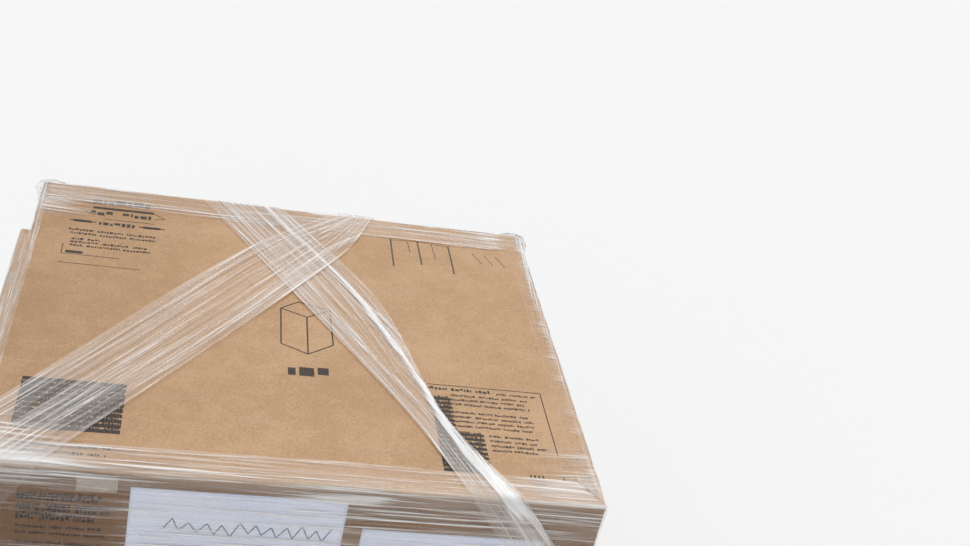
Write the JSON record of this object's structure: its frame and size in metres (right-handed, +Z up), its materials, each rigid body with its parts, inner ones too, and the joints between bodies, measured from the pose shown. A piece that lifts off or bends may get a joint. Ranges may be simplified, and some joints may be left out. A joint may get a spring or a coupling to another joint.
{
  "type": "shrink wrapped pallet load",
  "caption": "Timber pallet stacked with plain brown cartons and held by stretch film, with gathered film bands crossing over the top.",
  "frame": {"origin": "middle of the pallet's underside, on the floor", "axes": "+Z up; +Y from the front, where the upper carton is flush and carries the sheets, to the back, along the pallet's stringers; +X to the right seen from the front"},
  "size_m": [1.0192, 1.2282, 0.8396],
  "materials": {
    "pallet_wood": "rough sawn softwood",
    "carton_board": "brown kraft corrugated board",
    "clear_tape": "clear gloss packing tape",
    "paper_sheet": "plain office paper",
    "stretch_film": "clear stretched film, streaked and glossy",
    "gathered_film": "clear film gathered into pale folds"
  },
  "bodies": {
    "root": {"pallet_stringer_left": "pallet_wood", "pallet_stringer_middle": "pallet_wood", "pallet_stringer_right": "pallet_wood", "pallet_top_board_1": "pallet_wood", "pallet_top_board_2": "pallet_wood", "pallet_top_board_3": "pallet_wood", "pallet_top_board_4": "pallet_wood", "pallet_top_board_5": "pallet_wood", "pallet_top_board_6": "pallet_wood", "pallet_top_board_7": "pallet_wood", "pallet_bottom_board_1": "pallet_wood", "pallet_bottom_board_2": "pallet_wood", "pallet_bottom_board_3": "pallet_wood", "pallet_bottom_board_4": "pallet_wood", "pallet_bottom_board_5": "pallet_wood", "carton_lower_front": "carton_board", "tape_lower_front_top": "clear_tape", "tape_lower_front_bottom": "clear_tape", "carton_lower_middle": "carton_board", "tape_lower_middle_top": "clear_tape", "tape_lower_middle_bottom": "clear_tape", "carton_lower_back": "carton_board", "tape_lower_back_top": "clear_tape", "tape_lower_back_bottom": "clear_tape", "carton_upper": "carton_board", "tape_upper_front": "clear_tape", "tape_upper_back": "clear_tape", "tape_patch_front": "clear_tape", "label_sheet_left": "paper_sheet", "label_sheet_right": "paper_sheet", "film_wrap": "stretch_film", "film_band_left": "gathered_film", "film_band_right": "gathered_film"}
  },
  "joints": []
}
